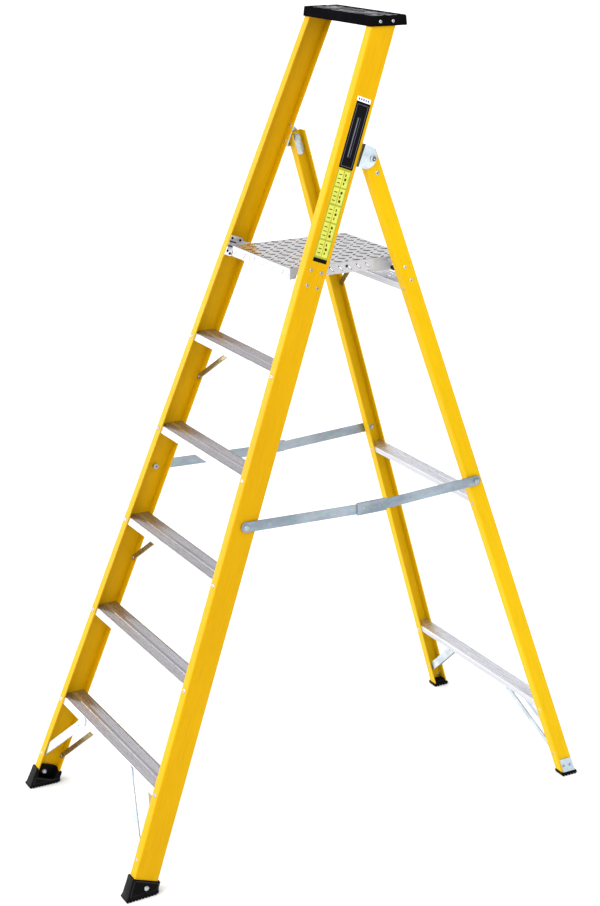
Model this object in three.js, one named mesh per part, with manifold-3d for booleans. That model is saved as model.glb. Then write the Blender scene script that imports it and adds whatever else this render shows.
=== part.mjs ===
// Platform step ladder: two leaning channel stiles with five treads, a folding rear frame, a hinged
// platform and folding side stays. Millimetres, +Z up. The climber faces +Y and +X is the climber's
// right. Pieces are drawn from the line on the floor below the stiles' front faces, and the whole
// ladder is then moved back so that its origin is on the floor under the middle of its footprint.
import * as THREE from 'three';
import { mergeVertices } from 'three/addons/utils/BufferGeometryUtils.js';
import Module from 'manifold-3d';

const wasm = await Module();
wasm.setup();

// ---- driving dimensions -------------------------------------------------------------------------
const GAP = 0.3;                 // clearance between pieces that touch
const TAPER = 0.0765;            // how far each side leans in for each millimetre up the stile
const RISE = 235;                // tread to tread
const FIRST_TREAD = 242;         // floor to the top of the lowest tread
const TREADS = 5;
const FOOTPRINT_MIDDLE = 639.9;  // from the stiles' front line to the middle of the footprint
const PLATFORM_TOP = 1408;
const CAP_BOTTOM = 1962;
const CAP_TOP = 1986;

// A leg frame: a pair of channels that lean along Y. "along" runs up the channel from the floor,
// "across" runs from its front face to its rear face, "inset" runs inwards from its outer web face.
const legFrame = (degrees, lean, half, foot, depth, flange, wall) => ({
  lean, half, foot, depth, flange, wall,
  sin: Math.sin(THREE.MathUtils.degToRad(degrees)),
  cos: Math.cos(THREE.MathUtils.degToRad(degrees)),
});
const FRONT = legFrame(20.46, 1, 320.5, 0, 63, 25, 3.2);
const REAR = legFrame(18.14, -1, 318.7, 1242, 39, 27, 3);

const HINGE = { along: 1805, across: 95 };          // on the front frame
const STAY_FRONT = { along: 902, across: 33 };      // on the front frame
const STAY_REAR = { along: 877, across: 20 };       // on the rear frame
const KNUCKLE = { front: 664, rear: 706, z: 824.4 };
const PLATFORM_PIVOT = { along: 1497, across: 33 }; // on the front frame

const BAR = { inner: 254, thick: 3, wide: 25 };     // side stay bars
const PLATFORM = { half: 147, front: 522, rear: 845, sheet: 3, skirt: 27, skirtRear: 752, lip: 15 };
const CHEEK = { outer: 142, thick: 2.5, front: 745, rear: 806, low: 1374 }; // under the platform's rear corners

// ---- colours --------------------------------------------------------------------------------------
const YELLOW = { color: 0xf2b90a, roughness: 0.45, metalness: 0 };
const ALUMINIUM = { color: 0xc4c2c0, roughness: 0.4, metalness: 0.9 };
const ZINC = { color: 0x9aa4aa, roughness: 0.45, metalness: 0.9 };
const BLACK = { color: 0x17181a, roughness: 0.65, metalness: 0 };

// ---- geometry helpers -------------------------------------------------------------------------------
const ladder = new THREE.Group();

function add(name, geometry, look) {
  const mesh = new THREE.Mesh(geometry, new THREE.MeshStandardMaterial(look));
  mesh.name = name;
  ladder.add(mesh);
}

// Point of a leg frame in the ladder's own axes; side is +1 or -1.
const onLeg = (leg, side, along, across, inset) => [
  side * (leg.half - TAPER * along - inset),
  leg.foot + leg.lean * along * leg.sin + across * leg.cos,
  along * leg.cos - leg.lean * across * leg.sin,
];
const alongAt = (leg, z, across) => (z + leg.lean * across * leg.sin) / leg.cos;
const atHeight = (leg, side, z, across, inset) => onLeg(leg, side, alongAt(leg, z, across), across, inset);
const sideView = (leg, { along, across }) => new THREE.Vector2(...onLeg(leg, 1, along, across, 0).slice(1));

// Turns every face outwards, whatever the mapping did to the handedness.
function facingOut(geometry) {
  const p = geometry.attributes.position;
  const [a, b, c] = [new THREE.Vector3(), new THREE.Vector3(), new THREE.Vector3()];
  let volume = 0;
  for (let i = 0; i < p.count; i += 3) {
    a.fromBufferAttribute(p, i);
    b.fromBufferAttribute(p, i + 1);
    c.fromBufferAttribute(p, i + 2);
    volume += a.dot(b.cross(c));
  }
  if (volume < 0) {
    for (let i = 0; i < p.count; i += 3) {
      b.fromBufferAttribute(p, i + 1);
      c.fromBufferAttribute(p, i + 2);
      p.setXYZ(i + 1, c.x, c.y, c.z);
      p.setXYZ(i + 2, b.x, b.y, b.z);
    }
  }
  geometry.deleteAttribute('normal');
  geometry.deleteAttribute('uv');
  return mergeVertices(geometry, 1e-4);
}

// Extrudes a flat shape by one unit and puts each point (u, v, w) where place says.
function placed(shape, place) {
  const geometry = new THREE.ExtrudeGeometry(shape, { depth: 1, bevelEnabled: false, curveSegments: 6 });
  const p = geometry.attributes.position;
  for (let i = 0; i < p.count; i++) p.setXYZ(i, ...place(p.getX(i), p.getY(i), p.getZ(i)));
  return facingOut(geometry);
}

const outline = (points) => new THREE.Shape(points.map(([x, y]) => new THREE.Vector2(x, y)));
const rectangle = (u0, u1, v0, v1) => outline([[u0, v0], [u1, v0], [u1, v1], [u0, v1]]);

function circleHole(shape, u, v, radius) {
  shape.holes.push(new THREE.Path().absarc(u, v, radius, 0, Math.PI * 2, true));
  return shape;
}

// A flat bar with round ends between two points of its plane.
function barShape(a, b, width) {
  const turn = Math.atan2(b.y - a.y, b.x - a.x);
  const shape = new THREE.Shape();
  shape.absarc(a.x, a.y, width / 2, turn + Math.PI / 2, turn + Math.PI * 1.5, false);
  shape.absarc(b.x, b.y, width / 2, turn - Math.PI / 2, turn + Math.PI / 2, false);
  return shape;
}

const box = (x0, x1, y0, y1, z0, z1) =>
  placed(rectangle(x0, x1, y0, y1), (u, v, w) => [u, v, z0 + (z1 - z0) * w]);

// A turned piece: radii and distances from "start" along a direction, closed on its axis.
function turned(start, direction, profile) {
  const points = [[0, profile[0][1]], ...profile, [0, profile.at(-1)[1]]];
  const geometry = new THREE.LatheGeometry(points.map(([r, d]) => new THREE.Vector2(r, d)), 14);
  const turn = new THREE.Quaternion().setFromUnitVectors(new THREE.Vector3(0, 1, 0), direction);
  geometry.applyQuaternion(turn).translate(...start);
  geometry.deleteAttribute('normal');
  geometry.deleteAttribute('uv');
  return facingOut(mergeVertices(geometry, 1e-4).toNonIndexed());
}

function solid(geometry) {
  const { position } = geometry.attributes;
  return new wasm.Manifold(new wasm.Mesh({
    numProp: 3,
    vertProperties: new Float32Array(position.array),
    triVerts: new Uint32Array(geometry.index.array),
  }));
}

function meshed(manifold) {
  const { vertProperties, triVerts } = manifold.getMesh();
  const geometry = new THREE.BufferGeometry();
  geometry.setAttribute('position', new THREE.BufferAttribute(vertProperties, 3));
  geometry.setIndex(new THREE.BufferAttribute(triVerts, 1));
  return geometry;
}

const cut = (body, ...tools) => meshed(tools.reduce((m, tool) => m.subtract(solid(tool)), solid(body)));
const join = (...bodies) => meshed(bodies.slice(1).reduce((m, b) => m.add(solid(b)), solid(bodies[0])));

const outwards = (side) => new THREE.Vector3(side, 0, 0);
const HOLE_REACH = 40;
const crossHole = (side, [x, y, z], radius) =>
  turned([x - (side * HOLE_REACH) / 2, y, z], outwards(side), [[radius, 0], [radius, HOLE_REACH]]);

// ---- shared sections ----------------------------------------------------------------------------------
const CORNER = 3;
function channelSection({ depth, flange, wall }, grow = 0) {
  const shape = new THREE.Shape();
  shape.moveTo(flange + grow, -grow);
  shape.lineTo(flange + grow, wall + grow);
  shape.lineTo(wall + grow, wall + grow);
  shape.lineTo(wall + grow, depth - wall - grow);
  shape.lineTo(flange + grow, depth - wall - grow);
  shape.lineTo(flange + grow, depth + grow);
  shape.absarc(CORNER - grow, depth - CORNER + grow, CORNER, Math.PI / 2, Math.PI, false);
  shape.absarc(CORNER - grow, CORNER - grow, CORNER, Math.PI, Math.PI * 1.5, false);
  return shape;
}

// A tray with two skirts, open below, between "across" limits; v is height below its top.
function traySection(front, rear, drop, sheet) {
  return outline([
    [front, 0], [rear, 0], [rear, -drop], [rear - sheet, -drop],
    [rear - sheet, -sheet], [front + sheet, -sheet], [front + sheet, -drop], [front, -drop],
  ]);
}

// A step is level; the rear frame's cross-members are square to its rails.
function step(top, { drop, sheet }) {
  const margin = FRONT.wall + GAP;
  return placed(traySection(margin, FRONT.depth - margin, drop, sheet), (u, v, w) => {
    const [x, y, z] = atHeight(FRONT, 1, top + v, u, margin);
    return [(2 * w - 1) * x, y, z];
  });
}

function crossMember(top, drop, sheet) {
  const margin = REAR.wall + GAP;
  const along = alongAt(REAR, top, margin);
  return placed(traySection(margin, REAR.depth - margin, drop, sheet), (u, v, w) => {
    const [x, y, z] = onLeg(REAR, 1, along + v, u, margin);
    return [(2 * w - 1) * x, y, z];
  });
}

// A flat bar that lies in a plane of constant "across", from one (x, along) point to another.
function diagonalBar(leg, side, low, high, width, across, thick, acrossHigh = across) {
  const [a, b] = [new THREE.Vector2(...low), new THREE.Vector2(...high)];
  const slant = (acrossHigh - across) / (high[1] - low[1]);
  return placed(barShape(a, b, width), (u, v, w) => {
    const [, y, z] = onLeg(leg, side, v, across + slant * (v - low[1]) + thick * w, 0);
    return [side * u, y, z];
  });
}

// ---- front frame ----------------------------------------------------------------------------------------
const SIDES = [['right', 1], ['left', -1]];
const STILE_FOOT = 8.3;
const STILE_TOP = CAP_TOP - 4.5;
const BOOT = { top: 55, front: -5, rear: 69, outer: -4, inner: 29.5, bolt: { along: 38, across: 35 } };
const PIN = { shank: 4, hole: 4.3, head: 7, headHigh: 3.5 };

const stayFront = sideView(FRONT, STAY_FRONT);
const stayRear = sideView(REAR, STAY_REAR);
const hinge = sideView(FRONT, HINGE);
const platformPivot = sideView(FRONT, PLATFORM_PIVOT);

function stile(side) {
  const body = placed(channelSection(FRONT), (u, v, w) =>
    atHeight(FRONT, side, w ? STILE_TOP : STILE_FOOT, v, u));
  const holes = [STAY_FRONT, BOOT.bolt].map(({ along, across }) =>
    crossHole(side, onLeg(FRONT, side, along, across, FRONT.wall / 2), PIN.hole));
  return cut(body, ...holes);
}

function boot(side) {
  const { outer, inner, front, rear, top, bolt } = BOOT;
  const block = placed(rectangle(outer, inner, front, rear), (u, v, w) =>
    w ? onLeg(FRONT, side, top, v, u) : atHeight(FRONT, side, 0, v, u));
  const pocket = placed(channelSection(FRONT, GAP), (u, v, w) =>
    w ? onLeg(FRONT, side, top + 10, v, u) : atHeight(FRONT, side, STILE_FOOT - GAP, v, u));
  return cut(block, pocket, crossHole(side, onLeg(FRONT, side, bolt.along, bolt.across, 12), PIN.hole));
}

function bootBolt(side) {
  const { outer, inner, bolt } = BOOT;
  const start = onLeg(FRONT, side, bolt.along, bolt.across, inner + 1.2);
  const span = inner - outer + 2.4;
  return turned(start, outwards(side), [
    [6, -5], [6, 0], [PIN.shank, 0], [PIN.shank, span], [6.5, span], [5.6, span + 2.4], [3, span + 4],
  ]);
}

function topCap() {
  const [half, front, rear, wall, corner] = [162.6, 729.7, 827, 1.8, 7];
  const rounded = (h, f, r, radius) => {
    const shape = new THREE.Shape();
    shape.absarc(h - radius, f + radius, radius, -Math.PI / 2, 0, false);
    shape.absarc(h - radius, r - radius, radius, 0, Math.PI / 2, false);
    shape.absarc(radius - h, r - radius, radius, Math.PI / 2, Math.PI, false);
    shape.absarc(radius - h, f + radius, radius, Math.PI, Math.PI * 1.5, false);
    return shape;
  };
  const shell = placed(rounded(half, front, rear, corner), (u, v, w) =>
    [u, v, w ? CAP_TOP : CAP_BOTTOM]);
  const hollow = placed(rounded(half - wall, front + wall, rear - wall, 1), (u, v, w) =>
    [u, v, w ? STILE_TOP + GAP : CAP_BOTTOM - 5]);
  return cut(shell, hollow);
}

// A square tube inside the stile that carries the platform pivot.
const BRACKET = { halfHigh: 22, wall: 3, front: 3.5, rear: 59.5 };
function platformBracket(side) {
  const [from, to] = [FRONT.wall + GAP, FRONT.flange - 0.5];
  const { along } = PLATFORM_PIVOT;
  const { halfHigh, wall, front, rear } = BRACKET;
  const shape = rectangle(from, to, along - halfHigh, along + halfHigh);
  shape.holes.push(rectangle(from + wall, to - wall, along - halfHigh + wall, along + halfHigh - wall));
  return placed(shape, (u, v, w) => onLeg(FRONT, side, v, front + (rear - front) * w, u));
}

function platformPin(side) {
  const { along, across } = PLATFORM_PIVOT;
  const [x, y, z] = onLeg(FRONT, side, along, across, FRONT.flange + 0.6);
  const bush = Math.abs(x) - PLATFORM.half - GAP;
  const head = bush + PLATFORM.sheet + 2 * GAP;
  return turned([x, y, z], outwards(-side), [
    [8, 0], [8, bush], [PIN.shank, bush], [PIN.shank, head], [6.5, head], [6.5, head + 3],
  ]);
}

const EAR = { inner: 188.1, thick: 3, radius: 28, across: 77, hole: 5.3, shank: 5 };
const FLANGE_PLATE = { low: 1776, high: 1832, thick: 3.5, inner: 160 };
function hingePlate(side) {
  const back = FRONT.depth + GAP;
  const across = (u, v) => onLeg(FRONT, 1, u, v, 0).slice(1);
  const ear = new THREE.Shape();
  const middle = (FLANGE_PLATE.low + FLANGE_PLATE.high) / 2;
  ear.moveTo(middle - EAR.radius, back);
  ear.lineTo(middle + EAR.radius, back);
  ear.absarc(middle, EAR.across, EAR.radius, 0, Math.PI, false);
  circleHole(ear, HINGE.along, HINGE.across, EAR.hole);
  const plate = rectangle(FLANGE_PLATE.low, FLANGE_PLATE.high, back, back + FLANGE_PLATE.thick);
  const [outer, { inner }] = [EAR.inner + EAR.thick, FLANGE_PLATE];
  return join(
    placed(ear, (u, v, w) => [side * (EAR.inner + EAR.thick * w), ...across(u, v)]),
    placed(plate, (u, v, w) => [side * (inner + (outer - inner) * w), ...across(u, v)]),
  );
}

function hingeBolt(side) {
  const nutFace = 178.2;
  const span = EAR.inner + EAR.thick + GAP - nutFace;
  return turned([side * nutFace, hinge.x, hinge.y], outwards(side), [
    [8, -6], [8, 0], [EAR.shank, 0], [EAR.shank, span], [8, span], [8, span + 3], [5, span + 5],
  ]);
}

function stayBolt(side) {
  const web = Math.abs(onLeg(FRONT, 1, STAY_FRONT.along, STAY_FRONT.across, 0)[0]);
  const nutFace = web - FRONT.wall - 0.9;
  const [collar, seat] = [web + 0.9 - nutFace, BAR.inner - GAP - nutFace];
  const head = BAR.inner + BAR.thick + GAP - nutFace;
  return turned([side * nutFace, stayFront.x, stayFront.y], outwards(side), [
    [7, -5], [7, 0], [PIN.shank, 0], [PIN.shank, collar], [7, collar], [7, seat],
    [PIN.shank, seat], [PIN.shank, head], [PIN.head, head], [PIN.head, head + 2], [4, head + PIN.headHigh],
  ]);
}

const TREAD = { drop: 18, sheet: 2.5 };
for (let n = 1; n <= TREADS; n++) {
  const top = FIRST_TREAD + (n - 1) * RISE;
  add(`tread_${n}`, step(top, TREAD), ALUMINIUM);
}
add('top_cap', topCap(), BLACK);

const REAR_BRACE = { width: 14, across: 53.7, thick: 3, inset: 20.5, below: 12 };
const REAR_BRACES = [[1, 182, 174], [3, 122, 122], [5, 125, 138]]; // tread, reach down, reach in
// A front brace runs from behind the stile's flange to the front of the tread's skirt.
const FRONT_BRACE = { low: [296, 104], high: [143, 246], width: 24, thick: 2.5, behindFlange: 4.3, onSkirt: 0.3 };

for (const [hand, side] of SIDES) {
  add(`front_stile_${hand}`, stile(side), YELLOW);
  add(`front_boot_${hand}`, boot(side), BLACK);
  add(`front_boot_bolt_${hand}`, bootBolt(side), ZINC);
  add(`platform_bracket_${hand}`, platformBracket(side), ALUMINIUM);
  add(`platform_pivot_${hand}`, platformPin(side), ZINC);
  add(`hinge_plate_${hand}`, hingePlate(side), ZINC);
  add(`hinge_bolt_${hand}`, hingeBolt(side), ZINC);
  add(`stay_front_bolt_${hand}`, stayBolt(side), ZINC);
  for (const [n, down, reach] of REAR_BRACES) {
    const { width, across, thick, inset, below } = REAR_BRACE;
    const top = alongAt(FRONT, FIRST_TREAD + (n - 1) * RISE, across);
    const foot = FRONT.half - TAPER * (top - down) - inset;
    const bar = diagonalBar(FRONT, side, [foot, top - down], [foot - reach, top - below], width, across, thick);
    add(`tread_brace_${n}_${hand}`, bar, ALUMINIUM);
  }
  const { low, high, width, thick, behindFlange, onSkirt } = FRONT_BRACE;
  const brace = diagonalBar(FRONT, side, low, high, width, behindFlange, thick, onSkirt);
  add(`front_brace_${hand}`, brace, ZINC);
}

// ---- rear frame --------------------------------------------------------------------------------------------
const RAIL = { foot: 10.3, top: 1754, hole: 5.6 };
function rearRail(side) {
  const body = placed(channelSection(REAR), (u, v, w) =>
    w ? onLeg(REAR, side, RAIL.top, v, u) : atHeight(REAR, side, RAIL.foot, v, u));
  return cut(body, crossHole(side, [side * 184, hinge.x, hinge.y], RAIL.hole));
}

// A plate that lies on the inner face of the rail's web, between along and across limits.
const webPlate = (side, shape, from, thick) =>
  placed(shape, (u, v, w) => onLeg(REAR, side, u, v, from + thick * w));

const hingeAlong = (hinge.y * REAR.cos) - (hinge.x - REAR.foot) * REAR.sin;
const hingeAcross = (hinge.x - REAR.foot) * REAR.cos + hinge.y * REAR.sin;
const STRAP = { low: 1702, width: 22, thick: 3 };
function hingeStrap(side) {
  const top = new THREE.Vector2(hingeAlong, hingeAcross);
  const low = new THREE.Vector2(STRAP.low, hingeAcross + 2);
  return webPlate(side, circleHole(barShape(low, top, STRAP.width), top.x, top.y, RAIL.hole),
    REAR.wall + GAP, STRAP.thick);
}

const CATCH = { low: 1422, high: 1474, front: 6, rear: 33, thick: 3 };
const SHELF = { inner: 148, outer: 201.5, front: 788, rear: 810, high: 8 };
function catchBracket(side) {
  const plate = webPlate(side, rectangle(CATCH.low, CATCH.high, CATCH.front, CATCH.rear),
    REAR.wall + GAP, CATCH.thick);
  const top = PLATFORM_TOP - PLATFORM.sheet - 0.5;
  const shelf = placed(rectangle(SHELF.inner, SHELF.outer, SHELF.front, SHELF.rear), (u, v, w) =>
    [side * u, v, top - SHELF.high * w]);
  return join(plate, shelf);
}

const STUD = { y: 800, z: 1382, stemEnd: 34, length: 48 };
function catchStud(side) {
  return turned([side * 199, STUD.y, STUD.z], outwards(-side), [
    [3, 0], [3, STUD.stemEnd], [6, STUD.stemEnd], [6.2, STUD.length - 3], [4.5, STUD.length],
  ]);
}

const PAD = { high: 10, front: -2, rear: 41, outer: -3.5, inner: 28.5, plugHigh: 20 };
function footPad(side) {
  const edge = REAR.wall + GAP;
  const tread = placed(rectangle(PAD.outer, PAD.inner, PAD.front, PAD.rear), (u, v, w) =>
    atHeight(REAR, side, PAD.high * w, v, u));
  const plug = placed(rectangle(edge, REAR.flange - 1, edge, REAR.depth - edge), (u, v, w) =>
    atHeight(REAR, side, PAD.high / 2 + (PAD.plugHigh - PAD.high / 2) * w, v, u));
  return join(tread, plug);
}

const FOOT_PLATE = { top: 47.6, front: 3.5, rear: 37, thick: 2.5 };
function footPlate(side) {
  return placed(rectangle(0, FOOT_PLATE.thick, FOOT_PLATE.front, FOOT_PLATE.rear), (u, v, w) =>
    atHeight(REAR, side, w ? FOOT_PLATE.top : RAIL.foot + 0.2, v, -GAP - u));
}

function stayNut(side) {
  const [x, y, z] = onLeg(REAR, side, STAY_REAR.along, STAY_REAR.across, REAR.wall + 0.9);
  return turned([x, y, z], outwards(-side), [[7, 0], [7, 5]]);
}

const LOWER_BRACE = { low: [300, 61], high: [138, 194], width: 20, thick: 3 };
const SKIRT_INSIDE = REAR.wall + TREAD.sheet + 2 * GAP; // a lower brace lies inside the cross-member's skirt
const CROSS = [['top_crossmember', 1348, 20], ['upper_crossmember', 789, 18], ['lower_crossmember', 209, 20]];
for (const [name, top, drop] of CROSS) add(name, crossMember(top, drop, TREAD.sheet), ALUMINIUM);

for (const [hand, side] of SIDES) {
  add(`rear_rail_${hand}`, rearRail(side), YELLOW);
  add(`hinge_strap_${hand}`, hingeStrap(side), ZINC);
  add(`catch_bracket_${hand}`, catchBracket(side), ALUMINIUM);
  add(`catch_stud_${hand}`, catchStud(side), BLACK);
  add(`rear_foot_plate_${hand}`, footPlate(side), ZINC);
  add(`rear_foot_pad_${hand}`, footPad(side), BLACK);
  add(`stay_rear_nut_${hand}`, stayNut(side), ZINC);
  const { low, high, width, thick } = LOWER_BRACE;
  const faces = [['front', SKIRT_INSIDE], ['back', REAR.depth - SKIRT_INSIDE - thick]];
  for (const [face, across] of faces) {
    add(`lower_brace_${face}_${hand}`, diagonalBar(REAR, side, low, high, width, across, thick), ZINC);
  }
}

// ---- platform ------------------------------------------------------------------------------------------------
function platform() {
  const { half, front, rear, sheet, skirt, skirtRear, lip } = PLATFORM;
  const under = PLATFORM_TOP - sheet;
  const bottom = PLATFORM_TOP - skirt;
  const block = box(-half, half, front, rear, bottom, PLATFORM_TOP);
  const hollow = box(-half + sheet, half - sheet, front + sheet, rear - sheet, bottom - 5, under);
  const behind = box(-half - 5, half + 5, skirtRear, rear - sheet, bottom - 5, under);
  const belowLip = box(-half - 5, half + 5, rear - sheet - 1, rear + 5, bottom - 5, PLATFORM_TOP - lip);
  const holes = SIDES.map(([, side]) =>
    crossHole(side, [side * half, platformPivot.x, platformPivot.y], PIN.hole));
  const cheeks = SIDES.map(([, side]) =>
    box(side * (CHEEK.outer - CHEEK.thick), side * CHEEK.outer, CHEEK.front, CHEEK.rear, CHEEK.low, under + 1));
  return join(cut(block, hollow, behind, belowLip, ...holes), ...cheeks);
}
add('platform', platform(), ALUMINIUM);

// ---- side stays ------------------------------------------------------------------------------------------------
const RIVET = { shank: 3, hole: 3.3, head: 5 };
const LINK = { thick: 2.5, over: 20, below: 14.4, above: 13.8, lip: 2.5 };
const knuckleFront = new THREE.Vector2(KNUCKLE.front, KNUCKLE.z);
const knuckleRear = new THREE.Vector2(KNUCKLE.rear, KNUCKLE.z);

function stayBar(side, a, holeA, b, holeB) {
  const shape = barShape(a, b, BAR.wide);
  circleHole(shape, a.x, a.y, holeA);
  circleHole(shape, b.x, b.y, holeB);
  return placed(shape, (u, v, w) => [side * (BAR.inner + BAR.thick * w), u, v]);
}

function stayLink(side) {
  const face = BAR.inner + BAR.thick + GAP;
  const [from, to] = [KNUCKLE.front - LINK.over, KNUCKLE.rear + LINK.over];
  const [low, high] = [KNUCKLE.z - LINK.below, KNUCKLE.z + LINK.above];
  const plate = placed(rectangle(from, to, low, high + LINK.lip), (u, v, w) =>
    [side * (face + LINK.thick * w), u, v]);
  const lip = placed(rectangle(from, to, high, high + LINK.lip), (u, v, w) =>
    [side * (BAR.inner + (LINK.thick + face - BAR.inner) * w), u, v]);
  const reach = face + LINK.thick - BAR.inner;
  const rivets = [knuckleFront, knuckleRear].map(({ x, y }) =>
    turned([side * BAR.inner, x, y], outwards(side), [
      [RIVET.shank, 0], [RIVET.shank, reach - 1], [RIVET.head, reach - 1], [RIVET.head, reach + 0.6],
      [3, reach + 2],
    ]));
  return join(plate, lip, ...rivets);
}

function stayRearBolt(side) {
  const [back, seat] = [BAR.inner - GAP, BAR.thick + 2 * GAP];
  return turned([side * (back - 0.3), stayRear.x, stayRear.y], outwards(side), [
    [PIN.shank, 0], [PIN.shank, seat + 0.3], [PIN.head, seat + 0.3], [PIN.head, seat + 2.3],
    [4, seat + PIN.headHigh + 0.3],
  ]);
}

for (const [hand, side] of SIDES) {
  add(`stay_front_bar_${hand}`, stayBar(side, stayFront, PIN.hole, knuckleFront, RIVET.hole), ZINC);
  add(`stay_link_${hand}`, stayLink(side), ZINC);
  add(`stay_rear_bar_${hand}`, stayBar(side, knuckleRear, RIVET.hole, stayRear, PIN.hole), ZINC);
  add(`stay_rear_bolt_${hand}`, stayRearBolt(side), ZINC);
}

ladder.position.y = -FOOTPRINT_MIDDLE;
const part = new THREE.Group();
part.add(ladder);
export default part;
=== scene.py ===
import math

import bmesh
import bpy
from mathutils import Matrix, Vector


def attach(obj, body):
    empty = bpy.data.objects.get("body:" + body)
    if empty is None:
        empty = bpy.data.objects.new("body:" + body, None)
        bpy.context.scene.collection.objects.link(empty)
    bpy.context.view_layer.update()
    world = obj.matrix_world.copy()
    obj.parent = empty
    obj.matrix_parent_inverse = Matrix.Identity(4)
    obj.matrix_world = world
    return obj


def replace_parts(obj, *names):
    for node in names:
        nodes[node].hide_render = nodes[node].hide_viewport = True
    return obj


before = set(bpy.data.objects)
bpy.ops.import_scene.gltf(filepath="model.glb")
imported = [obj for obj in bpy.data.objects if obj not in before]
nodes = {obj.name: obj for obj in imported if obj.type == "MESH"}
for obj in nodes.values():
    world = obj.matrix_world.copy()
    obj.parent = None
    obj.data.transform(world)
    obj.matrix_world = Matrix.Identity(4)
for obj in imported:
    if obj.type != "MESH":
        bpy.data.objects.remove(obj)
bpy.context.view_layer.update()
scene = bpy.context.scene


# ---- the ladder's own measures, in millimetres as in its record, turned into metres where they are used
MIDDLE = 639.9
TAPER = 0.0765
RISE, FIRST_TREAD, TREADS = 235, 242, 5
PLATFORM_TOP = 1408
CAP_BOTTOM, CAP_TOP = 1962, 1986
PLATFORM_HALF, PLATFORM_FRONT, PLATFORM_REAR = 147, 522, 845
BRACE_DROPS = ((1, 182), (3, 122), (5, 125))
BRACE_ACROSS, BRACE_INSET = 53.7, 20.5
SIDES = (("right", 1), ("left", -1))


class Leg:
    """A pair of leaning channels. along runs up from the floor, across to the rear, inset inwards."""

    def __init__(self, degrees, lean, half, foot, depth, flange, wall):
        self.lean, self.half, self.foot = lean, half, foot
        self.depth, self.flange, self.wall = depth, flange, wall
        self.tilt = math.radians(degrees) * lean
        self.sin, self.cos = math.sin(math.radians(degrees)), math.cos(math.radians(degrees))
        self.to_rear = Vector((0, self.cos, -lean * self.sin))

    def at(self, side, along, across, inset):
        return Vector((
            side * (self.half - TAPER * along - inset),
            self.foot + self.lean * along * self.sin + across * self.cos - MIDDLE,
            along * self.cos - self.lean * across * self.sin,
        )) / 1000

    def along(self, z, across):
        return (z + self.lean * across * self.sin) / self.cos

    def at_height(self, side, z, across, inset):
        return self.at(side, self.along(z, across), across, inset)

    def outward(self, side):
        return Vector((side, TAPER * self.lean * self.sin, TAPER * self.cos)).normalized()


FRONT = Leg(20.46, 1, 320.5, 0, 63, 25, 3.2)
REAR = Leg(18.14, -1, 318.7, 1242, 39, 27, 3)
GAP = 0.3


# ---- materials -----------------------------------------------------------------------------------
class Finish:
    """Builds one procedural material on object coordinates turned to run along a leg."""

    def __init__(self, name, **sockets):
        self.material = bpy.data.materials.new(name)
        self.material.use_nodes = True
        self.tree = self.material.node_tree
        self.shader = self.tree.nodes["Principled BSDF"]
        for socket, value in sockets.items():
            self.shader.inputs[socket.replace("_", " ")].default_value = value
        self.coordinates = self.tree.nodes.new("ShaderNodeTexCoord").outputs["Object"]

    def node(self, kind, inputs=(), **attributes):
        n = self.tree.nodes.new("ShaderNode" + kind)
        for key, value in attributes.items():
            setattr(n, key, value)
        for key, value in dict(inputs).items():
            if isinstance(value, bpy.types.NodeSocket):
                self.tree.links.new(value, n.inputs[key])
            else:
                n.inputs[key].default_value = value
        return n

    def stretched(self, scale, tilt=0.0):
        turned = self.node("Mapping", {"Vector": self.coordinates, "Rotation": (tilt, 0, 0)})
        return self.node("Mapping", {"Vector": turned.outputs[0], "Scale": scale}).outputs[0]

    def noise(self, scale, detail=3.0, tilt=0.0, roughness=0.55):
        vector = self.stretched(scale, tilt)
        return self.node("TexNoise", {
            "Vector": vector, "Scale": 1.0, "Detail": detail, "Roughness": roughness}).outputs["Fac"]

    def ramp(self, value, low, high, to_low=0.0, to_high=1.0):
        return self.node("MapRange", {
            "Value": value, "From Min": low, "From Max": high, "To Min": to_low, "To Max": to_high,
        }).outputs["Result"]

    def mix(self, share, a, b, blend="MIX"):
        n = self.node("Mix", data_type="RGBA", blend_type=blend)
        for key, value in ((0, share), (6, a), (7, b)):
            if isinstance(value, bpy.types.NodeSocket):
                self.tree.links.new(value, n.inputs[key])
            else:
                n.inputs[key].default_value = value
        return n.outputs[2]

    def colour(self, value):
        self.tree.links.new(value, self.shader.inputs["Base Color"])

    def roughness(self, value):
        self.tree.links.new(value, self.shader.inputs["Roughness"])

    def bump(self, height, strength, distance):
        n = self.node("Bump", {"Height": height, "Strength": strength, "Distance": distance})
        self.tree.links.new(n.outputs[0], self.shader.inputs["Normal"])


def rgb(r, g, b):
    """Display colour, 0 to 255, as linear colour."""
    return tuple(((c / 255 + 0.055) / 1.055) ** 2.4 if c > 10 else c / 255 / 12.92 for c in (r, g, b)) + (1,)


def fibreglass(name, leg, tones):
    f = Finish(name, Specular_IOR_Level=0.07)
    tilt = leg.tilt
    strands = f.noise((260, 260, 3), 4, tilt)
    veil = f.noise((90, 90, 60), 5, tilt, 0.65)
    broad = f.noise((5, 5, 1.6), 2, tilt)
    pores = f.noise((900, 900, 500), 2, tilt)
    dark, light, fleck = tones
    base = f.mix(f.ramp(broad, 0.35, 0.65), dark, light)
    base = f.mix(f.ramp(strands, 0.45, 0.75, 0, 0.35), base, tuple(c * 0.78 for c in dark[:3]) + (1,))
    base = f.mix(f.ramp(veil, 0.62, 0.8, 0, 0.2), base, fleck)
    f.colour(base)
    f.roughness(f.ramp(veil, 0.3, 0.7, 0.36, 0.52))
    f.bump(f.mix(0.35, strands, pores), 0.25, 0.0004)
    return f.material


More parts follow.
